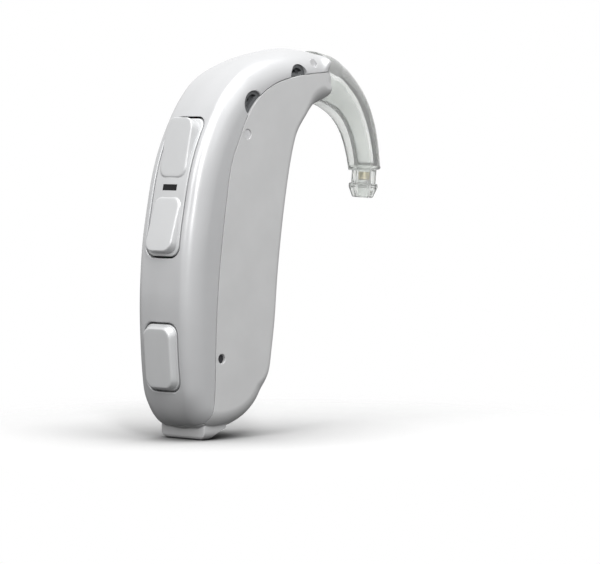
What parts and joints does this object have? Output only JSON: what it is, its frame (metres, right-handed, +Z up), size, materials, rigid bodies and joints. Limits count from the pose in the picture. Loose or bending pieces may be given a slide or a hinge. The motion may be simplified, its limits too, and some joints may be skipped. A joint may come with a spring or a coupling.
{
  "type": "behind the ear hearing aid",
  "caption": "Behind the ear hearing aid with a two part case, a clear ear hook, a rocker, a push button and a hinged battery drawer.",
  "frame": {"origin": "middle of the bounding box in X and Y, on the plane that the nail grip touches", "axes": "+X out of the flat side that the picture shows, +Y towards the ear hook, +Z up towards the crown"},
  "size_m": [0.0086, 0.036, 0.0428],
  "materials": {
    "silver_shell": "pearl lacquer",
    "grey_shell": "fine grain",
    "clear_hook": "clear plastic",
    "silver_button": "satin lacquer",
    "dark_window": "smoked",
    "pin_steel": "ground",
    "pin_dark": "blackened",
    "port_grey": "moulded",
    "cell_steel": "rolled",
    "contact_gold": "plated",
    "board_green": "solder mask",
    "chip_black": "moulded",
    "ceramic_tan": "ceramic",
    "led_white": "clear",
    "coil_copper": "enamelled wire",
    "rubber_black": "moulded",
    "can_steel": "drawn",
    "mic_gold": "plated",
    "tube_clear": "silicone",
    "frame_grey": "moulded",
    "lead_red": "enamel",
    "lead_blue": "enamel"
  },
  "bodies": {
    "housing": {"outer_shell": "silver_shell", "inner_shell": "grey_shell", "ear_hook": "clear_hook", "hook_damper": "contact_gold", "hook_gasket": "rubber_black", "hook_pin": "pin_steel", "upper_housing_pin": "pin_steel", "lower_housing_pins": "pin_dark", "rocker_pivot_pin": "pin_steel", "rocker_switches": "chip_black", "program_switch": "chip_black", "drawer_hinge_pin": "pin_steel", "positive_contact": "contact_gold", "negative_contact": "contact_gold", "rear_port_liners": "port_grey", "front_port_liners": "port_grey", "rear_microphone": "mic_gold", "front_microphone": "mic_gold", "microphone_gaskets": "rubber_black", "receiver": "can_steel", "receiver_suspension": "rubber_black", "receiver_tube": "tube_clear", "sound_spigot": "can_steel", "chassis_frame": "frame_grey", "amplifier_board": "board_green", "sound_processor": "chip_black", "board_capacitors": "ceramic_tan", "status_led": "led_white", "telecoil": "coil_copper", "wireless_coil": "coil_copper", "microphone_leads": "lead_red", "receiver_leads": "lead_blue"},
    "drawer": {"battery_drawer": "grey_shell", "battery_cell": "cell_steel"},
    "rocker": {"rocker_button": "silver_button", "status_window": "dark_window"},
    "upper_plunger": {"upper_switch_plunger": "chip_black"},
    "lower_plunger": {"lower_switch_plunger": "chip_black"},
    "button": {"push_button": "silver_button", "program_plunger": "chip_black"}
  },
  "joints": [
    {"name": "drawer_hinge", "type": "hinge", "parent": "housing", "child": "drawer", "pos_m": [0, -0.00402, 0.0151], "axis": [1, 0, 0], "range_deg": [0, 75]},
    {"name": "rocker_tilt", "type": "hinge", "parent": "housing", "child": "rocker", "pos_m": [0, -0.01377, 0.02702], "axis": [1, 0, 0], "range_deg": [-2.5, 2.5], "stiffness_Nm_per_rad": 0.1},
    {"name": "upper_plunger_slide", "type": "slide", "parent": "housing", "child": "upper_plunger", "axis": [0, 0.8892, -0.4576], "range_m": [-0.00025, 0.00025]},
    {"name": "lower_plunger_slide", "type": "slide", "parent": "housing", "child": "lower_plunger", "axis": [0, 0.9897, -0.1433], "range_m": [-0.00025, 0.00025]},
    {"name": "button_press", "type": "slide", "parent": "housing", "child": "button", "axis": [0, 0.9975, 0.0703], "range_m": [0, 0.0003], "stiffness_N_per_m": 3000}
  ],
  "couplings": [
    {"joint": "upper_plunger_slide", "follows": "rocker_tilt", "m_per_rad": -0.005374},
    {"joint": "lower_plunger_slide", "follows": "rocker_tilt", "m_per_rad": 0.005468}
  ]
}
